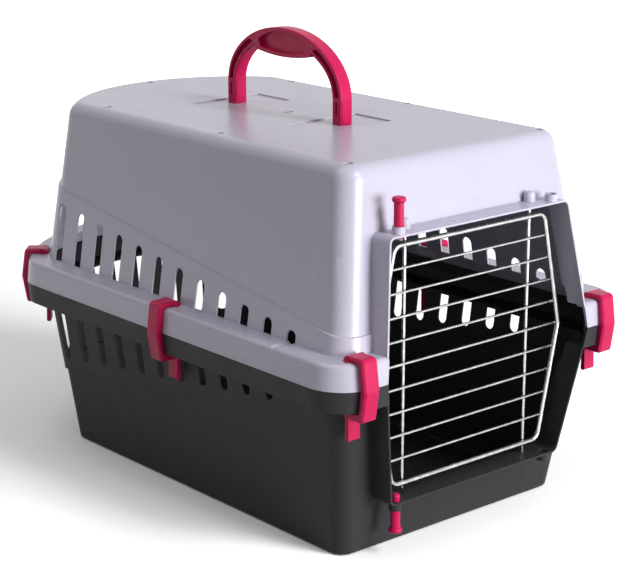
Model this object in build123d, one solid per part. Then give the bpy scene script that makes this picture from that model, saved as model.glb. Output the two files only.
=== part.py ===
"""Bird travel carrier: two plastic shells, six side clips, a fixed handle and a wire door.

Frame: millimetres, +Z up, floor at z = 0, length along Y, the doorway faces -Y.
The origin lies on the floor under the middle of the belt, the wide flange where the shells meet.
"""
from build123d import *
from dataclasses import dataclass
from math import cos, degrees, hypot, radians, sin, sqrt
import os

os.makedirs("parts", exist_ok=True)

# ---------------------------------------------------------------- overall sizes
LENGTH = 500.0            # over the belt, front to the crown of the rear bow
WIDTH = 316.0             # over the belt
HEIGHT = 303.5            # floor to roof, without the handle
PARTING = 148.5           # height of the joint between the two shells

# ---------------------------------------------------------------- shell walls
WALL = 2.2                # wall of both shells
FLOOR = 2.8               # floor of the base shell
PROUD = 2.0               # step of the slotted zone beside the belt
SLOT_WALL = 1.2           # thinner wall of the slotted zone
CREASE_GAP = 33.0         # height of the step line above the parting, at the front wall
CREASE_RISE = 0.129       # rise of the step line per millimetre of length

# Each level's distances inside the belt: sides, front, rear crown, and rear corner along Y.
FOOT_SIDE, FOOT_FRONT, FOOT_REAR, FOOT_CORNER = 22.0, 21.0, 22.0, 6.0
ROOF_SIDE, ROOF_FRONT, ROOF_REAR, ROOF_CORNER = 43.5, 41.0, 43.5, 10.5
SOLE_SIDE, SOLE_FRONT, SOLE_REAR, SOLE_CORNER = 40.0, 41.5, 41.5, 13.5
REAR_BOW = 91.5           # depth of the belt's rear bow
BELT_RADIUS = 32.0        # front and rear corners of the belt, in plan
WALL_RADIUS = 17.0        # corners of the walls, in plan
SOLE_RADIUS = 12.0        # corners at the floor, in plan
ROOF_ROUND = 12.0         # rounding of the roof edge
SOLE_ROUND = 3.0          # rounding of the bottom edge

# ---------------------------------------------------------------- belt
BELT_UP = 20.0            # belt face above the parting
BELT_DOWN = 17.0          # belt face below the parting
BELT_LEAN = 2.0           # the upper belt face leans in this much over its height
BELT_DROP = 1.0           # fall of the belt's underside from its edge to the wall
BELT_ROUND = 4.0          # rounding of the belt's upper edge
LIP_HEIGHT = 4.0          # locating lip of the base inside the top shell
LIP_ROOT = 3.0            # the lip's root reaches this far below the parting
LIP_WALL = 1.6
LIP_GAP = 0.3

# ---------------------------------------------------------------- doorway surround
DOOR_RISE = 105.4         # half height of the surround, outside
SURROUND_TOP = 96.0       # half width of the surround at its top, outside
SURROUND_MID = 110.8      # the same at the parting
SURROUND_LOW = 92.0       # the same at its bottom
SURROUND_WALL = 1.7
SURROUND_ROUND = 6.0      # rounding of the surround's outer corners
SURROUND_ROOT = 25.0      # the surround's walls start this far behind the front wall's foot
RIM_LEAN = 14.0           # the rim leans back this much from the parting to each end

# ---------------------------------------------------------------- wire door
LOOP_WIRE = 4.0           # diameter of the outer wire
UPRIGHT_WIRE = 3.0
BAR_WIRE = 2.0
LOOP_RISE = 94.4          # half height of the outer wire, on its centre line
LOOP_END = 80.8           # half width of the outer wire at top and bottom
LOOP_MID = 101.4          # half width of the outer wire at the parting
LOOP_BEND = 8.0           # bend radius of the outer wire
LOOP_SETBACK = 25.5       # the outer wire lies this far behind the belt's front
UPRIGHT_X = 67.2          # the uprights stand at plus and minus this
BAR_COUNT = 9
BAR_PITCH = 18.8
BAR_LIFT = 0.9            # the middle bar lies this far above the parting
STUB_IN_BOSS = 5.0        # the hinge wire reaches this far into each hinge boss
BORE_SPARE = 1.0          # the hinge bores are this much deeper
WELD_GAP = 0.05           # a bar's end stops this short of the outer wire
FREE_STUB = 4.0           # the free upright stands this far past the outer wire
WIRE_CHAMFER = 0.5
PIVOT_FIT = 0.08          # radial play of wires and pins in their bores

# ---------------------------------------------------------------- latch pins and bosses
PIN_X = 82.0              # pins and spare bosses stand at plus and minus this
PIN_SHAFT = 7.6           # diameter
PIN_TIP = 6.9             # diameter of the nose that stands before the outer wire
PIN_NOSE = 9.5            # length of the nose
PIN_REACH = 27.4          # from the nose's end to the head
PIN_HEAD = 10.6           # diameter
PIN_HEAD_HEIGHT = 4.4
PIN_HEAD_ROUND = 1.9
PIN_NOSE_ROUND = 2.0
PIN_GAP = 0.3             # between the pin's nose and the outer wire
UPPER_EXPOSED = 17.8      # shaft between boss and head of the upper pin, pulled out
LOWER_EXPOSED = 14.4      # the same for the lower pin
PIN_BOSS_HEIGHT = 5.6
PIN_BOSS_WALL = 1.15
HINGE_BOSS = 9.0          # diameter of the domed hinge bosses
HINGE_BOSS_HEIGHT = 8.3
HINGE_BOSS_ROUND = 3.6

# ---------------------------------------------------------------- side slots
SLOT_COUNT = 12           # in each side of the top shell; the base shell has one less
SLOT_WIDTH = 10.5
SLOT_REAR = 12.2          # rearmost slot, before the wall's rear corner
SLOT_FRONT = 55.6         # foremost slot, behind the front wall
SLOT_MARGIN = 11.0        # the slots end this far short of the step line
SLOT_FOOT = 0.2           # the slots start this far beyond the belt's shelf
REAR_SLOT_COUNT = 10      # in the rear bow of each shell
REAR_SLOT_WIDTH = 13.5
REAR_SLOT_PITCH = 26.8    # along the bow

# ---------------------------------------------------------------- clips
CLIP_WIDTH = 15.0
CLIP_GAP = 0.4            # between the clip and the belt
CLIP_KNEE = 5.4           # thickness at the knee
CLIP_RISE = 4.4           # top of the arm above the belt's upper edge
CLIP_SHOULDER = 2.4       # outer corner above the knee: distance before the belt's face
CLIP_HEEL = 2.0           # outer corner below the knee: distance before the belt's face
CLIP_HOOK = 5.0           # thickness of the hook under the belt
CLIP_SHOULDER_ROUND = 4.0
CLIP_HEEL_ROUND = 3.0
CLIP_CHAMFER = 1.5        # along both long edges of the outer face
CLIP_BARREL = 5.0         # radius of the pivot barrel
CLIP_PIN = 1.5            # radius of the pivot pins
CLIP_PIN_LENGTH = 2.0
CLIP_PIVOT_IN = 13.5      # pivot behind the belt's face
TAIL_WIDTH = 11.5         # finger tab under the hook
TAIL_IN = 15.2            # outer face of the tab behind the belt's face
TAIL_ROOT = 3.2           # thickness of the tab at the hook
TAIL_TIP = 4.0            # thickness of the tab at its end
TAIL_FLARE = 0.8          # the tab's end stands out this much
TAIL_END = 42.5           # end of the tab below the parting
TAIL_ROUND = 1.4
CLIP_FRONT_INSET = 28.6   # front clips: distance from the belt's side
CLIP_SIDE_Y = -32.0
CLIP_REAR_ANGLE = 50.0    # rear clips: direction of the belt's normal from +Y
POCKET_GAP = 0.3          # around a clip's barrel
POCKET_WALL = 3.2
POCKET_FLOOR = 2.0

# ---------------------------------------------------------------- handle and roof
HANDLE_Y = -7.0
HANDLE_SPAN = 147.2       # outside, foot to foot
HANDLE_RISE = 70.8        # top of the handle above the roof
HANDLE_LEG = 20.0         # straight length of each leg
HANDLE_DEPTH = 10.8       # thickness of the legs along Y
HANDLE_WIDTH = 12.6       # along X
HANDLE_ROUND = 1.2        # rounding of the arch's edges
GRIP_DEPTH = 24.0         # height of the grip at its middle
GRIP_HALF = 36.0          # half length of the grip's belly
GRIP_SAG = 3.6            # the belly hangs this much lower at its middle
GRIP_FIELD_TOP = 31.5     # half length of the grip's sunk field at its shoulders
GRIP_FIELD_LOW = 28.0     # half length of the field's lower side
GRIP_FIELD_DROP = 9.0     # the field's shoulders lie this far below its crown
GRIP_FIELD_SAG = 2.6      # the field's lower side hangs this much lower at its middle
GRIP_FIELD_ROUND = 2.4
HANDLE_WEB = 4.0          # web between the pockets of the two sides
HANDLE_RIM = 3.0          # rim around each pocket
LEG_FIELD = 36.0          # height of the sunk field in each leg
LEG_FIELD_LOW = 2.0       # its lower end above the straight leg's top
FOOT_SLOT_LENGTH, FOOT_SLOT_WIDTH = 11.0, 2.6
FOOT_SLOT_RISE = 13.0
TONGUE_HEIGHT = 19.0      # raised tongue on the front and back of each foot
TONGUE_LIFT = 1.0         # its lower end above the plate
TONGUE_PROUD = 0.6
TONGUE_ROUND = 3.5
PLATE_LENGTH = 76.0       # along X
PLATE_WIDTH = 44.0        # along Y
PLATE_DEPTH = 1.0
PLATE_SPREAD = 64.3       # plate centres before and behind the handle's middle
TENON_X, TENON_Y = 8.0, 7.0
TENON_FIT = 0.2
TENON_BARB = 1.2
BARB_HEIGHT = 1.6
BARB_CHAMFER = 1.0
DIMPLE = 8.0              # diameter of the roof's moulding marks
DIMPLE_DEPTH = 0.8
DIMPLE_EDGE = 13.0        # from the roof's front and sides
DIMPLE_REAR = 37.0        # rear pair, before the roof's rear corners
DIMPLE_CROWN = 15.0       # single mark, before the rear crown
GATE_NUB = 2.2            # radius of the moulding gate's nub at the middle of the roof
GATE_RISE = 0.9


@dataclass(frozen=True)
class Plan:
    """Plan outline: straight front and sides, and a rear wall bowed on one arc."""

    half: float
    front: float
    corner: float
    peak: float
    front_radius: float
    rear_radius: float

    def bow(self):
        """Centre (on the Y axis) and radius of the rear arc."""
        rise = self.peak - self.corner
        radius = (self.half ** 2 + rise ** 2) / (2 * rise)
        return self.peak - radius, radius

    def inset(self, gap):
        """The same outline, moved inwards by gap (outwards when gap is negative)."""
        centre, radius = self.bow()
        half = self.half - gap
        corner = centre + sqrt((radius - gap) ** 2 - half ** 2)
        return Plan(half, self.front + gap, corner, self.peak - gap,
                    max(self.front_radius - gap, 1.0), max(self.rear_radius - gap, 1.0))

    def face(self, z):
        """The outline as a face at height z."""
        sides = [
            Line((-self.half, self.front), (self.half, self.front)),
            Line((self.half, self.front), (self.half, self.corner)),
            ThreePointArc((self.half, self.corner), (0, self.peak), (-self.half, self.corner)),
            Line((-self.half, self.corner), (-self.half, self.front)),
        ]
        outline = make_face(sides)
        front = outline.vertices().filter_by_position(Axis.Y, self.front - NEAR, self.front + NEAR)
        outline = fillet(front, self.front_radius)
        rear = outline.vertices().filter_by_position(Axis.Y, self.corner - NEAR, self.corner + NEAR)
        outline = fillet(rear, self.rear_radius)
        return Pos(0, 0, z) * outline


def plan_at(side, front, rear, corner, radius):
    """A level's outline, from its distances inside the belt."""
    return Plan(WIDTH / 2 - side, -LENGTH / 2 + front, LENGTH / 2 - REAR_BOW - corner,
                LENGTH / 2 - rear, radius, radius)


BELT = plan_at(0, 0, 0, 0, BELT_RADIUS)
FOOT = plan_at(FOOT_SIDE, FOOT_FRONT, FOOT_REAR, FOOT_CORNER, WALL_RADIUS)
ROOF = plan_at(ROOF_SIDE, ROOF_FRONT, ROOF_REAR, ROOF_CORNER, WALL_RADIUS)
SOLE = plan_at(SOLE_SIDE, SOLE_FRONT, SOLE_REAR, SOLE_CORNER, SOLE_RADIUS)

UPPER_EDGE = PARTING + BELT_UP
LOWER_EDGE = PARTING - BELT_DOWN
LOWER_FOOT = LOWER_EDGE - BELT_DROP
LOWER_LEAN = BELT_LEAN * BELT_DOWN / BELT_UP
FRONT = -LENGTH / 2
BIG = 2 * (LENGTH + WIDTH + HEIGHT)
NEAR = 0.1                # tolerance for picking edges by their place
CUT_SPARE = 10.0          # cutters reach this far past what they cut


def frustum(lower, lower_z, upper, upper_z):
    """A straight-sided block between two plan outlines."""
    return loft([lower.face(lower_z), upper.face(upper_z)], ruled=True)


def half_space(point, normal):
    """A large block that fills the side of a plane its normal points to."""
    return Plane(origin=point, z_dir=normal) * Pos(0, 0, BIG / 2) * Box(BIG, BIG, BIG)


def above(z):
    """Everything above a height."""
    return half_space((0, 0, z), (0, 0, 1))


def below(z):
    """Everything below a height."""
    return half_space((0, 0, z), (0, 0, -1))


def edges_at(shape, z):
    """The edges of a shape that lie level at a height."""
    return shape.edges().filter_by_position(Axis.Z, z - NEAR, z + NEAR)


def beyond_crease(up, drop=0.0):
    """The region beyond the step line's plane; up is +1 above the parting, -1 below."""
    point = (0, FRONT + FOOT_FRONT, PARTING + up * (CREASE_GAP - drop))
    return half_space(point, (0, -CREASE_RISE, up))


# ---------------------------------------------------------------- shell bodies
def upper_body(gap):
    """The top shell as a full block; gap moves every surface inwards by the wall."""
    foot, roof, belt = FOOT.inset(gap), ROOF.inset(gap), BELT.inset(gap)
    edge = BELT.inset(gap + BELT_LEAN)
    proud = (SLOT_WALL if gap else 0.0) - PROUD
    walls = frustum(foot, UPPER_EDGE - gap, roof, HEIGHT - gap)
    walls = fillet(edges_at(walls, HEIGHT - gap), ROOF_ROUND - gap)
    slotted = frustum(FOOT.inset(proud), UPPER_EDGE - gap, ROOF.inset(proud), HEIGHT - gap)
    slotted -= beyond_crease(1, gap)
    band = frustum(belt, PARTING, edge, UPPER_EDGE - gap)
    band = fillet(edges_at(band, UPPER_EDGE - gap), BELT_ROUND - gap)
    return walls + slotted + band


def lower_body(gap):
    """The base shell as a full block; gap moves every surface inwards by the wall."""
    foot, belt = FOOT.inset(gap), BELT.inset(gap)
    edge = BELT.inset(gap + LOWER_LEAN)
    floor = FLOOR if gap else 0.0
    proud = (SLOT_WALL if gap else 0.0) - PROUD
    walls = frustum(SOLE.inset(gap), floor, foot, LOWER_EDGE + gap)
    walls = fillet(edges_at(walls, floor), SOLE_ROUND)
    slotted = frustum(SOLE.inset(proud), floor, FOOT.inset(proud), LOWER_EDGE + gap)
    slotted -= beyond_crease(-1, gap)
    face = frustum(edge, LOWER_EDGE + gap, belt, PARTING)
    shelf = frustum(FOOT.inset(proud), LOWER_FOOT + gap, edge, LOWER_EDGE + gap)
    return walls + slotted + face + shelf


# ---------------------------------------------------------------- doorway
def hexagon(top, mid, low, rise):
    """Corner points (x, z) of a six-sided outline, from its half widths and its half height."""
    return [(-top, PARTING + rise), (top, PARTING + rise), (mid, PARTING),
            (low, PARTING - rise), (-low, PARTING - rise), (-mid, PARTING)]


def doorway_prism(gap, y_from, y_to):
    """A prism of the surround's outline between two y planes, moved inwards by gap."""
    corners = hexagon(SURROUND_TOP, SURROUND_MID, SURROUND_LOW, DOOR_RISE)
    outline = make_face(Polyline(*corners, close=True))
    outline = fillet([v for v in outline.vertices() if abs(v.Y - PARTING) > DOOR_RISE / 2], SURROUND_ROUND)
    if gap:
        outline = offset(outline, -gap, kind=Kind.INTERSECTION)
    at_start = Plane(origin=(0, y_from, 0), x_dir=(1, 0, 0), z_dir=(0, -1, 0))
    return extrude(at_start * outline, amount=-(y_to - y_from))


SURROUND_BACK = FRONT + FOOT_FRONT + SURROUND_ROOT
DOOR_CUT = doorway_prism(SURROUND_WALL, FRONT - CUT_SPARE, SURROUND_BACK + CUT_SPARE)


def surround(up, cabin_void):
    """One half of the doorway's projecting surround, its rim leaning back from the parting."""
    block = doorway_prism(0.0, FRONT - CUT_SPARE, SURROUND_BACK)
    block &= above(PARTING) if up > 0 else below(PARTING)
    before_rim = half_space((0, FRONT, PARTING), (0, -DOOR_RISE, up * RIM_LEAN))
    return block - before_rim - cabin_void


LOOP_Y = FRONT + LOOP_SETBACK
UPRIGHT_Y = LOOP_Y + (LOOP_WIRE + UPRIGHT_WIRE) / 2
BAR_Y = UPRIGHT_Y - (UPRIGHT_WIRE + BAR_WIRE) / 2
PIN_Y = LOOP_Y - LOOP_WIRE / 2 - PIN_GAP - PIN_TIP / 2
LEDGE_TOP = PARTING + DOOR_RISE
LEDGE_BOTTOM = LEDGE_TOP - SURROUND_WALL


def mirrored(shape, up):
    """Shapes are drawn for the upper half; the lower half mirrors them in the parting plane."""
    return shape if up > 0 else mirror(shape, Plane.XY.offset(PARTING))


def post(x, y, z_from, z_to, diameter):
    """An upright cylinder between two heights."""
    return Pos(x, y, (z_from + z_to) / 2) * Cylinder(diameter / 2, z_to - z_from)


def bosses():
    """Latch and hinge bosses on the surround's top wall, and their bores."""
    seat = (LEDGE_TOP + LEDGE_BOTTOM) / 2
    bore = PIN_SHAFT + 2 * PIVOT_FIT
    stub_bore = UPRIGHT_WIRE + 2 * PIVOT_FIT
    solid, bores = Part(), Part()
    for side in (-1, 1):
        x = side * PIN_X
        solid += post(x, PIN_Y, seat, LEDGE_TOP + PIN_BOSS_HEIGHT, bore + 2 * PIN_BOSS_WALL)
        bores += post(x, PIN_Y, LEDGE_BOTTOM - PIN_BOSS_HEIGHT, LEDGE_TOP + 2 * PIN_BOSS_HEIGHT, bore)
        x = side * UPRIGHT_X
        dome = post(x, UPRIGHT_Y, seat, LEDGE_TOP + HINGE_BOSS_HEIGHT, HINGE_BOSS)
        solid += fillet(dome.edges().sort_by(Axis.Z)[-1:], HINGE_BOSS_ROUND)
        bore_end = LEDGE_TOP + STUB_IN_BOSS + BORE_SPARE
        bores += post(x, UPRIGHT_Y, LEDGE_BOTTOM - BORE_SPARE, bore_end, stub_bore)
    return solid, bores


# ---------------------------------------------------------------- vent slots
def vent(y, width, depth, up):
    """Cutter along X for one slot, rounded at its end short of the step line's height at y."""
    foot = UPPER_EDGE + SLOT_FOOT if up > 0 else LOWER_FOOT - SLOT_FOOT
    step_line = CREASE_GAP + CREASE_RISE * (y - FOOT.front)
    end = PARTING + up * (step_line - SLOT_MARGIN - width / 2)
    cutter = Pos(0, 0, (end + foot) / 2) * Box(depth, width, abs(end - foot))
    return cutter + Pos(0, 0, end) * Rot(0, 90, 0) * Cylinder(width / 2, depth)


def side_slots(up):
    """Cutters for the vent slots of both sides."""
    count = SLOT_COUNT if up > 0 else SLOT_COUNT - 1
    first, last = FOOT.corner - SLOT_REAR, FOOT.front + SLOT_FRONT
    cutters = Part()
    for i in range(count):
        y = first + i * (last - first) / (SLOT_COUNT - 1)
        cutters += Pos(0, y, 0) * vent(y, SLOT_WIDTH, WIDTH, up)
    core = Box(WIDTH - 2 * (ROOF_SIDE + ROOF_ROUND), LENGTH, HEIGHT)
    return cutters - Pos(0, 0, PARTING) * core


def rear_slots(up):
    """Cutters for the vent slots of the rear wall, evenly spaced along its bow."""
    centre, radius = FOOT.bow()
    depth = 2 * (ROOF_REAR - FOOT_REAR)
    cutters = Part()
    for i in range(REAR_SLOT_COUNT):
        angle = (i - (REAR_SLOT_COUNT - 1) / 2) * REAR_SLOT_PITCH / radius
        x, y = radius * sin(angle), centre + radius * cos(angle)
        cutters += Pos(x, y, 0) * Rot(0, 0, 90 - degrees(angle)) * vent(y, REAR_SLOT_WIDTH, depth, up)
    return cutters


# ---------------------------------------------------------------- clips
CLIP_TOP = BELT_UP + CLIP_RISE
CLIP_TURN = -CLIP_PIVOT_IN, CLIP_TOP - CLIP_BARREL
CLIP_SWING = hypot(-LOWER_LEAN - CLIP_TURN[0], -BELT_DOWN - CLIP_TURN[1]) + CLIP_GAP


def clip_frames():
    """Name and place of each clip: local X points out of the belt, Z up, origin at the parting."""
    centre, radius = BELT.bow()
    angle = radians(CLIP_REAR_ANGLE)
    rear_x, rear_y = radius * sin(angle), centre + radius * cos(angle)
    front_x = WIDTH / 2 - CLIP_FRONT_INSET
    places = {
        "clip_front_left": (-front_x, FRONT, -90.0),
        "clip_front_right": (front_x, FRONT, -90.0),
        "clip_side_left": (-WIDTH / 2, CLIP_SIDE_Y, 180.0),
        "clip_side_right": (WIDTH / 2, CLIP_SIDE_Y, 0.0),
        "clip_rear_left": (-rear_x, rear_y, 90.0 + CLIP_REAR_ANGLE),
        "clip_rear_right": (rear_x, rear_y, 90.0 - CLIP_REAR_ANGLE),
    }
    return {name: Pos(x, y, PARTING) * Rot(0, 0, turn) for name, (x, y, turn) in places.items()}


def in_section(face, width):
    """Extrude a face drawn as (out, up) to a bar of the given width, centred on the clip."""
    section = Plane(origin=(0, width / 2, 0), x_dir=(1, 0, 0), z_dir=(0, -1, 0))
    return extrude(section * face, amount=width)


def on_swing(out):
    """Point (out, up) of the hook's upper face, on a circle about the clip's pivot."""
    return out, CLIP_TURN[1] - sqrt(CLIP_SWING ** 2 - (out - CLIP_TURN[0]) ** 2)


def clip_plate():
    """Arm, outer plate and hook of a clip, as one C-shaped bar."""
    arm_low = BELT_UP + CLIP_GAP
    hook_out, hook_in = CLIP_GAP - LOWER_LEAN, -TAIL_IN - TAIL_TIP / 2
    hook_low = on_swing(hook_in)[1] - CLIP_HOOK
    shoulder_in = CLIP_GAP - arm_low * BELT_LEAN / BELT_UP
    corners = [
        (CLIP_TURN[0], CLIP_TOP), (CLIP_SHOULDER, CLIP_TOP), (CLIP_GAP + CLIP_KNEE, 0),
        (CLIP_HEEL, hook_low), (hook_in, hook_low), on_swing(hook_in),
    ]
    back = [on_swing(hook_out), (CLIP_GAP, 0), (shoulder_in, arm_low), (CLIP_TURN[0], arm_low), corners[0]]
    hook_face = ThreePointArc(on_swing(hook_in), on_swing((hook_in + hook_out) / 2), on_swing(hook_out))
    plate = in_section(make_face([Polyline(*corners), hook_face, Polyline(*back)]), CLIP_WIDTH)
    across = plate.edges().filter_by(GeomType.LINE).filter_by(Axis.Y)
    plate = fillet([e for e in across if e.center().X > 0 and e.center().Z > arm_low], CLIP_SHOULDER_ROUND)
    across = plate.edges().filter_by(GeomType.LINE).filter_by(Axis.Y)
    plate = fillet([e for e in across if e.center().X > 0 and e.center().Z < -BELT_DOWN], CLIP_HEEL_ROUND)
    rim = [e for e in plate.edges().filter_by(GeomType.LINE)
           if e.center().X > CLIP_KNEE / 2 and abs(e.center().Y) > CLIP_WIDTH / 2 - NEAR
           and abs(e.center().Z) < BELT_DOWN]
    return chamfer(rim, CLIP_CHAMFER)


def clip_tail():
    """The finger tab that hangs from the hook, close to the shell's wall."""
    root_in = -TAIL_IN - TAIL_ROOT
    tip_out = -TAIL_IN + TAIL_FLARE
    tab = make_face(Polyline(on_swing(-TAIL_IN), (tip_out, -TAIL_END), (tip_out - TAIL_TIP, -TAIL_END),
                             on_swing(root_in), close=True))
    tab = in_section(tab, TAIL_WIDTH)
    return fillet([e for e in tab.edges().filter_by(Axis.Y) if e.center().Z < NEAR - TAIL_END], TAIL_ROUND)


def clip():
    """One clip in its local frame, with its pivot barrel and pins."""
    pivot = Pos(CLIP_TURN[0], 0, CLIP_TURN[1]) * Rot(90, 0, 0)
    barrel = pivot * Cylinder(CLIP_BARREL, CLIP_WIDTH)
    pins = pivot * Cylinder(CLIP_PIN, CLIP_WIDTH + 2 * CLIP_PIN_LENGTH)
    return clip_plate() + clip_tail() + barrel + pins


def clip_block():
    """Plastic across the belt's hollow that carries a clip's pivot."""
    width = CLIP_WIDTH + 2 * (POCKET_GAP + POCKET_WALL)
    depth = FOOT_SIDE - PROUD + SLOT_WALL / 2
    bottom = CLIP_TURN[1] - CLIP_BARREL - POCKET_GAP - POCKET_FLOOR
    height = BELT_UP - bottom
    return Pos(-depth / 2, 0, bottom + height / 2) * Box(depth, width, height)


def clip_pocket():
    """The room for a clip's barrel and pins in the belt's top."""
    at = Pos(CLIP_TURN[0], 0, CLIP_TURN[1])
    radius = CLIP_BARREL + POCKET_GAP
    width = CLIP_WIDTH + 2 * POCKET_GAP
    lie = Rot(90, 0, 0)
    pocket = at * lie * Cylinder(radius, width)
    pocket += at * Pos(0, 0, radius) * Box(2 * radius, width, 2 * radius)
    pin_length = width + 2 * (CLIP_PIN_LENGTH + POCKET_GAP)
    return pocket + at * lie * Cylinder(CLIP_PIN + PIVOT_FIT, pin_length)


# ---------------------------------------------------------------- handle and roof
FOOT_SPREAD = (HANDLE_SPAN - HANDLE_DEPTH) / 2
SEAT = HEIGHT - PLATE_DEPTH


def roof_marks():
    """Handle plates, tenon holes and moulding marks to cut from the roof."""
    mark = Cylinder(DIMPLE / 2, 2 * DIMPLE_DEPTH)
    hole = Box(TENON_X + 2 * TENON_FIT, TENON_Y + 2 * TENON_FIT, 2 * CUT_SPARE)
    side = ROOF.half - DIMPLE_EDGE
    front, rear = ROOF.front + DIMPLE_EDGE, ROOF.corner - DIMPLE_REAR
    cut = Pos(0, ROOF.peak - DIMPLE_CROWN, HEIGHT) * mark + Pos(0, HANDLE_Y, HEIGHT) * mark
    for end in (-1, 1):
        plate = Box(PLATE_LENGTH, PLATE_WIDTH, 2 * PLATE_DEPTH)
        cut += Pos(0, HANDLE_Y + end * PLATE_SPREAD, HEIGHT) * plate
        cut += Pos(0, HANDLE_Y + end * FOOT_SPREAD, HEIGHT) * hole
        for y in (front, (front + rear) / 2, rear):
            cut += Pos(end * side, y, HEIGHT) * mark
    return cut


def gate_nub():
    """The low nub that the moulding gate leaves in the middle mark."""
    return Pos(0, HANDLE_Y, HEIGHT - DIMPLE_DEPTH) * (
        Sphere(GATE_NUB) & Pos(0, 0, GATE_RISE / 2) * Box(2 * GATE_NUB, 2 * GATE_NUB, GATE_RISE))


def arch(half, rise, leg):
    """Outline (y, z above the seat) of an arch: straight legs and a half ellipse."""
    crown = EllipticalCenterArc((0, leg), half, rise - leg, start_angle=0, arc_size=180)
    return [Line((half, 0), (half, leg)), crown, Line((-half, leg), (-half, 0)), Line((-half, 0), (half, 0))]


def handle_pockets(rise):
    """The sunk fields in each side of the handle: the grip, both legs, and a slot in each foot."""
    half, depth, rim = HANDLE_SPAN / 2, HANDLE_DEPTH, HANDLE_RIM
    crown, low = rise - rim, rise - GRIP_DEPTH + rim
    shoulder, heel = crown - GRIP_FIELD_DROP, low + GRIP_FIELD_SAG
    grip = make_face([
        ThreePointArc((-GRIP_FIELD_TOP, shoulder), (0, crown), (GRIP_FIELD_TOP, shoulder)),
        Line((GRIP_FIELD_TOP, shoulder), (GRIP_FIELD_LOW, heel)),
        ThreePointArc((GRIP_FIELD_LOW, heel), (0, low), (-GRIP_FIELD_LOW, heel)),
        Line((-GRIP_FIELD_LOW, heel), (-GRIP_FIELD_TOP, shoulder)),
    ])
    fields = fillet(grip.vertices(), GRIP_FIELD_ROUND)
    band = make_face(arch(half - rim, rise - rim, HANDLE_LEG))
    band -= make_face(arch(half - depth + rim, rise - depth + rim, HANDLE_LEG))
    field = Rectangle(2 * (half - GRIP_HALF - rim), LEG_FIELD)
    for end in (-1, 1):
        fields += band & (Pos(end * half, HANDLE_LEG + LEG_FIELD_LOW + LEG_FIELD / 2) * field)
        slot = SlotOverall(FOOT_SLOT_LENGTH, FOOT_SLOT_WIDTH, rotation=90)
        fields += Pos(end * FOOT_SPREAD, FOOT_SLOT_RISE) * slot
    return fields


def handle_foot(end):
    """The tenon with its snap barbs, and the two raised tongues, of one foot."""
    y = HANDLE_Y + end * FOOT_SPREAD
    barb_z = SEAT - WALL - BARB_HEIGHT
    foot = Pos(0, y, (SEAT + barb_z) / 2) * Box(TENON_X, TENON_Y, SEAT - barb_z + 2 * NEAR)
    barb = Pos(0, y, barb_z) * Box(TENON_X + 2 * TENON_BARB, TENON_Y, BARB_HEIGHT)
    foot += chamfer(barb.edges().filter_by(Axis.Y).group_by(Axis.Z)[0], BARB_CHAMFER)
    tongue = Box(HANDLE_WIDTH - 2 * HANDLE_ROUND, HANDLE_DEPTH + 2 * TONGUE_PROUD, TONGUE_HEIGHT)
    tongue = fillet(tongue.edges().filter_by(Axis.Y).group_by(Axis.Z)[0], TONGUE_ROUND)
    return foot + Pos(0, y, SEAT + TONGUE_LIFT + TONGUE_HEIGHT / 2) * tongue


def handle():
    """The arched handle, its pockets and its feet."""
    rise = HANDLE_RISE + PLATE_DEPTH
    half, depth = HANDLE_SPAN / 2, HANDLE_DEPTH
    outer = make_face(arch(half, rise, HANDLE_LEG))
    inner = make_face(arch(half - depth, rise - depth, HANDLE_LEG))
    low = rise - GRIP_DEPTH
    end = low + GRIP_SAG
    belly = make_face([
        ThreePointArc((-GRIP_HALF, end), (0, low), (GRIP_HALF, end)),
        Line((GRIP_HALF, end), (GRIP_HALF, rise)),
        Line((GRIP_HALF, rise), (-GRIP_HALF, rise)),
        Line((-GRIP_HALF, rise), (-GRIP_HALF, end)),
    ])
    side = Plane(origin=(-HANDLE_WIDTH / 2, HANDLE_Y, SEAT), x_dir=(0, 1, 0), z_dir=(1, 0, 0))
    body = extrude(side * ((outer - inner) + (belly & outer)), amount=HANDLE_WIDTH)
    body = fillet(body.edges().filter_by(GeomType.ELLIPSE), HANDLE_ROUND)
    pocket_depth = (HANDLE_WIDTH - HANDLE_WEB) / 2
    pocket = extrude(side * handle_pockets(rise), amount=pocket_depth)
    body -= pocket + Pos(HANDLE_WIDTH - pocket_depth, 0, 0) * pocket
    return body + handle_foot(-1) + handle_foot(1)


# ---------------------------------------------------------------- door
LOOP_LEAN = (LOOP_MID - LOOP_END) / LOOP_RISE


def loop_half_width(z):
    """Half width of the outer wire's centre line at a height."""
    return LOOP_MID - abs(z - PARTING) * LOOP_LEAN


def door_loop():
    """The outer wire: one round wire bent to a six-sided ring and welded shut."""
    corners = hexagon(LOOP_END, LOOP_MID, LOOP_END, LOOP_RISE)
    ring = FilletPolyline(*[(x, LOOP_Y, z) for x, z in corners], radius=LOOP_BEND, close=True)
    start = Plane(origin=ring @ 0, z_dir=ring % 0)
    return sweep(start * Circle(LOOP_WIRE / 2), path=ring)


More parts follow.
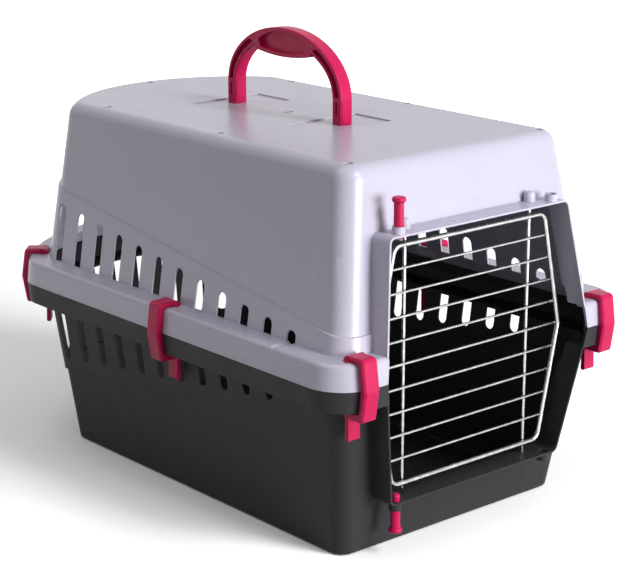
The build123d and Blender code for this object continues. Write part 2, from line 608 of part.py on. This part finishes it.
def door_parts():
    """Every wire of the door, by node name."""
    parts = {"door_outer_wire": door_loop()}
    hinge_end = LEDGE_TOP + STUB_IN_BOSS
    free_end = PARTING + LOOP_RISE + LOOP_WIRE / 2 + FREE_STUB
    for name, x, top in (("door_hinge_upright", UPRIGHT_X, hinge_end),
                         ("door_free_upright", -UPRIGHT_X, free_end)):
        wire = post(x, UPRIGHT_Y, 2 * PARTING - top, top, UPRIGHT_WIRE)
        parts[name] = chamfer(wire.edges(), WIRE_CHAMFER)
    inside_wire = hypot(1, LOOP_LEAN) * LOOP_WIRE / 2 + LOOP_LEAN * BAR_WIRE / 2
    for i in range(BAR_COUNT):
        z = PARTING + BAR_LIFT + ((BAR_COUNT - 1) / 2 - i) * BAR_PITCH
        reach = loop_half_width(z) - inside_wire - WELD_GAP
        parts[f"door_bar_{i + 1}"] = Pos(0, BAR_Y, z) * Rot(0, 90, 0) * Cylinder(BAR_WIRE / 2, 2 * reach)
    return parts


def latch_pin(exposed):
    """A latch pin of the upper half, with this much shaft between its boss and its head."""
    head_base = LEDGE_TOP + PIN_BOSS_HEIGHT + exposed
    tip = head_base - PIN_REACH
    nose = post(-PIN_X, PIN_Y, tip, tip + PIN_NOSE, PIN_TIP)
    nose = fillet(nose.edges().sort_by(Axis.Z)[:1], PIN_NOSE_ROUND)
    shaft = post(-PIN_X, PIN_Y, tip + PIN_NOSE, head_base, PIN_SHAFT)
    head = post(-PIN_X, PIN_Y, head_base, head_base + PIN_HEAD_HEIGHT, PIN_HEAD)
    return nose + shaft + fillet(head.edges().filter_by(GeomType.CIRCLE), PIN_HEAD_ROUND)


# ---------------------------------------------------------------- shells
def locating_lip():
    """The base's upstand that centres the top shell, standing inside its belt."""
    outside = WALL + LIP_GAP
    inside = outside + LIP_WALL
    lean = LIP_HEIGHT * BELT_LEAN / BELT_UP
    low, high = PARTING - LIP_ROOT, PARTING + LIP_HEIGHT
    outer = frustum(BELT.inset(outside), low, BELT.inset(outside + lean), high)
    root = frustum(BELT.inset(WALL / 2), low, BELT.inset(WALL / 2), PARTING - LIP_GAP)
    core = frustum(BELT.inset(inside), low - NEAR, BELT.inset(inside + lean), high + NEAR)
    return outer + root - core


def top_shell():
    """The roof shell with its belt, surround, bosses, slots, clip pockets and handle plates."""
    void = upper_body(WALL)
    outside = upper_body(0.0) + surround(1, void)
    for frame in clip_frames().values():
        void -= frame * clip_block()
        outside -= frame * clip_pocket()
    solid, bores = bosses()
    shell = outside - void + solid - DOOR_CUT - bores - side_slots(1) - rear_slots(1)
    return shell - roof_marks() + gate_nub()


def base_shell():
    """The floor shell with its belt, locating lip, surround, bosses and slots."""
    void = lower_body(WALL)
    solid, bores = bosses()
    shell = lower_body(0.0) + surround(-1, void) - void + locating_lip() + mirrored(solid, -1)
    return shell - DOOR_CUT - mirrored(bores, -1) - side_slots(-1) - rear_slots(-1)


def build():
    """Every node of the carrier, by name."""
    nodes = {"top_shell": top_shell(), "base_shell": base_shell(), "handle": handle()}
    for name, frame in clip_frames().items():
        nodes[name] = frame * clip()
    nodes.update(door_parts())
    nodes["latch_pin_upper"] = latch_pin(UPPER_EXPOSED)
    nodes["latch_pin_lower"] = mirrored(latch_pin(LOWER_EXPOSED), -1)
    return nodes


for node, shape in build().items():
    export_step(shape, f"parts/{node}.step")
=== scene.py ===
"""Looks of a travel carrier with a wire door: its finishes and studio, built round its frame."""

from __future__ import annotations

import logging
import math
from dataclasses import dataclass

import bpy
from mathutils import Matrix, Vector

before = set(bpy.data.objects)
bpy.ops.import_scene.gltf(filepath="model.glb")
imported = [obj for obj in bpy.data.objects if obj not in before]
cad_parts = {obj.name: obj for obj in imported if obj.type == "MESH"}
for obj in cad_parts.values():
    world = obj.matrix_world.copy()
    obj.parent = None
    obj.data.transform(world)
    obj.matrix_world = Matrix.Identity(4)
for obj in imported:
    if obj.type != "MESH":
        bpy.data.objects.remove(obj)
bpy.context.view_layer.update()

LOG = logging.getLogger("carrier")
MM = 0.001                # the scene is in metres
WHITE = (1.0, 1.0, 1.0, 1.0)
NOISE_LOW = 0.3           # most values of a noise texture lie between these two
NOISE_HIGH = 0.7

Place = tuple[float, float, float]


# ---------------------------------------------------------------- helpers
def linear(hex_colour: str) -> tuple[float, float, float, float]:
    """Turn an sRGB hex colour into the linear colour a shader takes.

    Args:
        hex_colour: Six hex digits, with or without a leading #.

    Returns:
        Red, green, blue and an alpha of 1.
    """
    digits = hex_colour.lstrip("#")
    values = [int(digits[i:i + 2], 16) / 255 for i in (0, 2, 4)]
    lin = [v / 12.92 if v <= 0.04045 else ((v + 0.055) / 1.055) ** 2.4 for v in values]
    return lin[0], lin[1], lin[2], 1.0


def add_node(
    tree: bpy.types.NodeTree,
    kind: str,
    settings: dict[str, object] | None = None,
    inputs: dict[str | int, object] | None = None,
) -> bpy.types.Node:
    """Add a shader node, set it up and link it.

    Args:
        tree: The material's or world's node tree.
        kind: The node's type name.
        settings: Properties of the node itself.
        inputs: Socket name or number to a value, or to the output socket that feeds it.

    Returns:
        The new node.
    """
    node = tree.nodes.new(kind)
    for name, value in (settings or {}).items():
        setattr(node, name, value)
    for name, value in (inputs or {}).items():
        if isinstance(value, bpy.types.NodeSocket):
            tree.links.new(value, node.inputs[name])
        else:
            node.inputs[name].default_value = value
    return node


def empty_material(name: str) -> tuple[bpy.types.Material, bpy.types.NodeTree]:
    """Make a node material with nothing in it.

    Args:
        name: The finish's name.

    Returns:
        The material and its node tree.
    """
    material = bpy.data.materials.new(name)
    material.use_nodes = True
    material.node_tree.nodes.clear()
    return material, material.node_tree


def per_metre(size_mm: float) -> float:
    """Noise scale whose features are about this many millimetres wide."""
    return 1 / (size_mm * MM)


def backdrop_rays(tree: bpy.types.NodeTree) -> bpy.types.NodeSocket:
    """Tell the rays that show the backdrop from those that only light the carrier.

    Args:
        tree: The floor's or the world's node tree.

    Returns:
        A socket that is 1 for what the camera sees, straight on, mirrored or through something
        clear, and 0 for all other light.
    """
    ray = add_node(tree, "ShaderNodeLightPath")
    seen = add_node(tree, "ShaderNodeMath", {"operation": "MAXIMUM"}, {
        0: ray.outputs["Is Camera Ray"], 1: ray.outputs["Is Glossy Ray"]})
    shown = add_node(tree, "ShaderNodeMath", {"operation": "MAXIMUM"}, {
        0: seen.outputs["Value"], 1: ray.outputs["Is Transmission Ray"]})
    return shown.outputs["Value"]


# ---------------------------------------------------------------- finishes
@dataclass(frozen=True)
class MouldedPlastic:
    """Injection-moulded thermoplastic with the fine skin of its mould."""

    name: str
    colour: str
    shade: str                # where the melt is a little denser
    roughness: float
    roughness_spread: float
    ior: float
    specular: float
    mottle_mm: float          # width of the colour's slow drift
    grain_mm: float           # real grain is finer, and is drawn as coarse as it needs to show
    grain_depth_mm: float
    sink_mm: float            # width of the slow waves where the wall shrank
    sink_depth_mm: float
    edge_mm: float            # how far a moulded edge looks rounded

    def material(self) -> bpy.types.Material:
        """Build the material.

        Returns:
            Colour that drifts slightly with the flow of the melt, a roughness that varies with
            the mould's polish, and a fine grain over slow sink waves and softened edges.
        """
        material, tree = empty_material(self.name)
        place = add_node(tree, "ShaderNodeTexCoord").outputs["Object"]
        flow = add_node(tree, "ShaderNodeTexNoise", {}, {
            "Vector": place, "Scale": per_metre(self.mottle_mm),
            "Detail": 3.0, "Roughness": 0.55})
        colour = add_node(tree, "ShaderNodeMix", {"data_type": "RGBA"}, {
            "Factor": flow.outputs["Fac"], "A": linear(self.shade), "B": linear(self.colour)})
        polish = add_node(tree, "ShaderNodeTexNoise", {}, {
            "Vector": place, "Scale": per_metre(self.mottle_mm / 2), "Detail": 4.0})
        rough = add_node(tree, "ShaderNodeMapRange", {}, {
            "Value": polish.outputs["Fac"], "From Min": NOISE_LOW, "From Max": NOISE_HIGH,
            "To Min": self.roughness - self.roughness_spread,
            "To Max": self.roughness + self.roughness_spread})
        waves = add_node(tree, "ShaderNodeTexNoise", {}, {
            "Vector": place, "Scale": per_metre(self.sink_mm), "Detail": 1.0})
        edges = add_node(tree, "ShaderNodeBevel", {"samples": 6}, {"Radius": self.edge_mm * MM})
        sink = add_node(tree, "ShaderNodeBump", {}, {
            "Height": waves.outputs["Fac"], "Normal": edges.outputs["Normal"],
            "Strength": 1.0, "Distance": self.sink_depth_mm * MM})
        grain = add_node(tree, "ShaderNodeTexNoise", {}, {
            "Vector": place, "Scale": per_metre(self.grain_mm),
            "Detail": 2.0, "Roughness": 0.6})
        skin = add_node(tree, "ShaderNodeBump", {}, {
            "Height": grain.outputs["Fac"], "Normal": sink.outputs["Normal"],
            "Strength": 1.0, "Distance": self.grain_depth_mm * MM})
        shader = add_node(tree, "ShaderNodeBsdfPrincipled", {}, {
            "Base Color": colour.outputs["Result"], "Roughness": rough.outputs["Result"],
            "Normal": skin.outputs["Normal"], "IOR": self.ior,
            "Specular IOR Level": self.specular})
        add_node(tree, "ShaderNodeOutputMaterial", {}, {"Surface": shader.outputs["BSDF"]})
        return material


@dataclass(frozen=True)
class ZincWire:
    """Drawn steel wire, bright zinc plated after welding."""

    name: str
    colour: str
    shade: str                # in the cloudy patches of the plating
    roughness: float
    roughness_drop: float     # brightest plating
    roughness_rise: float     # cloudiest plating
    cloud_mm: float
    draw_mm: float            # real die lines are finer, and are drawn as coarse as they can show
    draw_depth_mm: float

    def material(self) -> bpy.types.Material:
        """Build the material.

        Returns:
            A metal with a faintly cloudy plating, and die lines too fine to see one by one.
        """
        material, tree = empty_material(self.name)
        place = add_node(tree, "ShaderNodeTexCoord").outputs["Object"]
        cloud = add_node(tree, "ShaderNodeTexNoise", {}, {
            "Vector": place, "Scale": per_metre(self.cloud_mm), "Detail": 3.0})
        colour = add_node(tree, "ShaderNodeMix", {"data_type": "RGBA"}, {
            "Factor": cloud.outputs["Fac"], "A": linear(self.shade), "B": linear(self.colour)})
        rough = add_node(tree, "ShaderNodeMapRange", {}, {
            "Value": cloud.outputs["Fac"], "From Min": NOISE_LOW, "From Max": NOISE_HIGH,
            "To Min": self.roughness - self.roughness_drop,
            "To Max": self.roughness + self.roughness_rise})
        lines = add_node(tree, "ShaderNodeTexNoise", {}, {
            "Vector": place, "Scale": per_metre(self.draw_mm), "Detail": 2.0})
        skin = add_node(tree, "ShaderNodeBump", {}, {
            "Height": lines.outputs["Fac"], "Strength": 1.0,
            "Distance": self.draw_depth_mm * MM})
        shader = add_node(tree, "ShaderNodeBsdfPrincipled", {}, {
            "Base Color": colour.outputs["Result"], "Metallic": 1.0,
            "Roughness": rough.outputs["Result"], "Normal": skin.outputs["Normal"]})
        add_node(tree, "ShaderNodeOutputMaterial", {}, {"Surface": shader.outputs["BSDF"]})
        return material


# Polypropylene, injection moulded in a polished mould: a soft gloss that mirrors what stands on it.
ROOF_PP = MouldedPlastic(
    name="polypropylene_light_grey",
    colour="#B6B2C3",
    shade="#AFABBC",
    roughness=0.30,
    roughness_spread=0.03,
    ior=1.49,
    specular=0.5,
    mottle_mm=60,
    grain_mm=0.9,
    grain_depth_mm=0.006,
    sink_mm=45,
    sink_depth_mm=0.05,
    edge_mm=0.9,
)
# Polypropylene with carbon black, against a finely etched mould: satin, nearly black in shade.
BASE_PP = MouldedPlastic(
    name="polypropylene_anthracite",
    colour="#303032",
    shade="#2B2B2D",
    roughness=0.50,
    roughness_spread=0.05,
    ior=1.49,
    specular=0.15,
    mottle_mm=50,
    grain_mm=0.8,
    grain_depth_mm=0.012,
    sink_mm=45,
    sink_depth_mm=0.05,
    edge_mm=0.9,
)
# Polypropylene coloured right through, polished mould: a saturated crimson with clean highlights.
CRIMSON_PP = MouldedPlastic(
    name="polypropylene_crimson",
    colour="#BE1250",
    shade="#B2104A",
    roughness=0.34,
    roughness_spread=0.04,
    ior=1.49,
    specular=0.2,
    mottle_mm=20,
    grain_mm=0.7,
    grain_depth_mm=0.006,
    sink_mm=18,
    sink_depth_mm=0.03,
    edge_mm=0.8,
)
# Mild steel wire, bright zinc plated: a clear metal sheen, a little cloudy between highlights.
DOOR_ZINC = ZincWire(
    name="zinc_plated_steel_wire",
    colour="#C6C6C4",
    shade="#A6A7A8",
    roughness=0.26,
    roughness_drop=0.05,
    roughness_rise=0.07,
    cloud_mm=6,
    draw_mm=0.8,
    draw_depth_mm=0.004,
)


# ---------------------------------------------------------------- sub-assemblies
@dataclass
class DressedPieces:
    """Pieces of one sub-assembly, which keep their own shape and share one finish."""

    title: str
    nodes: tuple[str, ...]
    finish: MouldedPlastic | ZincWire

    def dress(self) -> None:
        """Give every piece the finish."""
        material = self.finish.material()
        for name in self.nodes:
            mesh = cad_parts[name].data
            mesh.materials.clear()
            mesh.materials.append(material)
            LOG.info("%s: %s wears %s", self.title, name, material.name)


def pieces_named(start: str) -> tuple[str, ...]:
    """Names of the carrier's pieces that begin with some text, in order."""
    return tuple(sorted(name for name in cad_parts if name.startswith(start)))


# ---------------------------------------------------------------- studio
@dataclass(frozen=True)
class Softbox:
    """Square softbox, with sizes in metres."""

    name: str
    place: Place
    edge: float
    watts: float

    def hang(self, target: Place) -> None:
        """Hang the softbox.

        Args:
            target: The point it faces, in metres.
        """
        lamp = bpy.data.lights.new(self.name, "AREA")
        lamp.shape = "SQUARE"
        lamp.size = self.edge
        lamp.energy = self.watts
        holder = bpy.data.objects.new(self.name, lamp)
        holder.location = self.place
        aim = Vector(target) - Vector(self.place)
        holder.rotation_euler = aim.to_track_quat("-Z", "Y").to_euler()
        bpy.context.scene.collection.objects.link(holder)


KEY = Softbox("key", place=(0.846, -3.393, 2.982), edge=1.3, watts=90)
FRONT_FILL = Softbox("front_fill", place=(0.50, -2.60, 0.50), edge=1.0, watts=66)
OVERHEAD = Softbox("overhead", place=(-0.90, 0.50, 2.60), edge=1.6, watts=12)


@dataclass
class Studio:
    """Floor, lights and camera, with sizes in metres."""

    eye: Place = (-0.99474, -1.19661, 0.58495)
    yaw_deg: float = 40.859
    pitch_deg: float = 15.931
    lens_mm: float = 105.34
    sensor_mm: float = 36.0
    shift: tuple[float, float] = (0.00145, 0.00436)
    sight: float = 50.0                   # the camera sees this far
    floor_half: float = 6.0
    floor_drop: float = 0.0004            # keeps the floor clear of the sole
    floor_lift: float = 1.40              # brightness of the floor's paint where it is seen
    floor_bounce: str = "#969696"         # the same paint, for the light it throws on the carrier
    floor_glow: float = 0.0               # added under the carrier, where the shadow lies
    far_glow: float = 1.0                 # added past the shadow, so that the floor is plain white
    shadow_reach: tuple[float, float] = (0.55, 1.30)  # the glow rises between these distances
    ambient: float = 0.30
    softboxes: tuple[Softbox, ...] = (KEY, FRONT_FILL, OVERHEAD)
    target: Place = (0.0, 0.0, 0.15)      # the carrier's middle

    def floor(self) -> None:
        """Lay the pale floor, which keeps the shadow and is white where nothing shades it."""
        bpy.ops.object.select_all(action="DESELECT")
        bpy.ops.mesh.primitive_plane_add(
            size=2 * self.floor_half, location=(0, 0, -self.floor_drop))
        plane = bpy.context.active_object
        plane.name = "studio_floor"
        material, tree = empty_material("painted_board_white")
        shown = backdrop_rays(tree)
        place = add_node(tree, "ShaderNodeTexCoord").outputs["Object"]
        away = add_node(tree, "ShaderNodeVectorMath", {"operation": "LENGTH"}, {0: place})
        near, far = self.shadow_reach
        glow_here = add_node(
            tree, "ShaderNodeMapRange", {"interpolation_type": "SMOOTHSTEP"}, {
                "Value": away.outputs["Value"], "From Min": near, "From Max": far,
                "To Min": self.floor_glow, "To Max": self.far_glow})
        strength = add_node(tree, "ShaderNodeMath", {"operation": "MULTIPLY"}, {
            0: shown, 1: glow_here.outputs["Result"]})
        lifted = (self.floor_lift, self.floor_lift, self.floor_lift, 1.0)
        tone = add_node(tree, "ShaderNodeMix", {"data_type": "RGBA"}, {
            "Factor": shown, "A": linear(self.floor_bounce), "B": lifted})
        paint = add_node(tree, "ShaderNodeBsdfDiffuse", {}, {"Color": tone.outputs["Result"]})
        glow = add_node(tree, "ShaderNodeEmission", {}, {
            "Color": WHITE, "Strength": strength.outputs["Value"]})
        both = add_node(tree, "ShaderNodeAddShader", {}, {
            0: paint.outputs["BSDF"], 1: glow.outputs["Emission"]})
        add_node(tree, "ShaderNodeOutputMaterial", {}, {"Surface": both.outputs["Shader"]})
        plane.data.materials.append(material)

    def world(self) -> None:
        """Set an even ambient light, and plain white where the background is seen."""
        world = bpy.data.worlds.new("studio")
        bpy.context.scene.world = world
        world.use_nodes = True
        tree = world.node_tree
        tree.nodes.clear()
        strength = add_node(tree, "ShaderNodeMapRange", {}, {
            "Value": backdrop_rays(tree), "To Min": self.ambient, "To Max": 1.0})
        back = add_node(tree, "ShaderNodeBackground", {}, {
            "Color": WHITE, "Strength": strength.outputs["Result"]})
        add_node(tree, "ShaderNodeOutputWorld", {}, {"Surface": back.outputs["Background"]})

    def camera(self) -> None:
        """Stand the camera off the front left corner, a little above the roof."""
        data = bpy.data.cameras.new("view")
        data.lens = self.lens_mm
        data.sensor_width = self.sensor_mm
        data.sensor_fit = "HORIZONTAL"
        data.shift_x, data.shift_y = self.shift
        data.clip_end = self.sight
        holder = bpy.data.objects.new("view", data)
        holder.location = self.eye
        holder.rotation_euler = (
            math.radians(90 - self.pitch_deg), 0, math.radians(-self.yaw_deg))
        bpy.context.scene.collection.objects.link(holder)
        bpy.context.scene.camera = holder

    def build(self) -> None:
        """Build the whole studio."""
        self.floor()
        self.world()
        for softbox in self.softboxes:
            softbox.hang(self.target)
        self.camera()
        bpy.context.scene.view_settings.view_transform = "Standard"
        LOG.info("studio: floor, world, %d softboxes and camera", len(self.softboxes))


def main() -> None:
    """Dress the carrier and build its studio."""
    logging.basicConfig(level=logging.INFO, format="%(name)s: %(message)s")
    fasteners = pieces_named("clip_") + pieces_named("latch_pin_")
    DressedPieces("roof", ("top_shell",), ROOF_PP).dress()
    DressedPieces("floor", ("base_shell",), BASE_PP).dress()
    DressedPieces("grip and fasteners", ("handle",) + fasteners, CRIMSON_PP).dress()
    DressedPieces("door", pieces_named("door_"), DOOR_ZINC).dress()
    Studio().build()


if __name__ == "__main__":
    main()
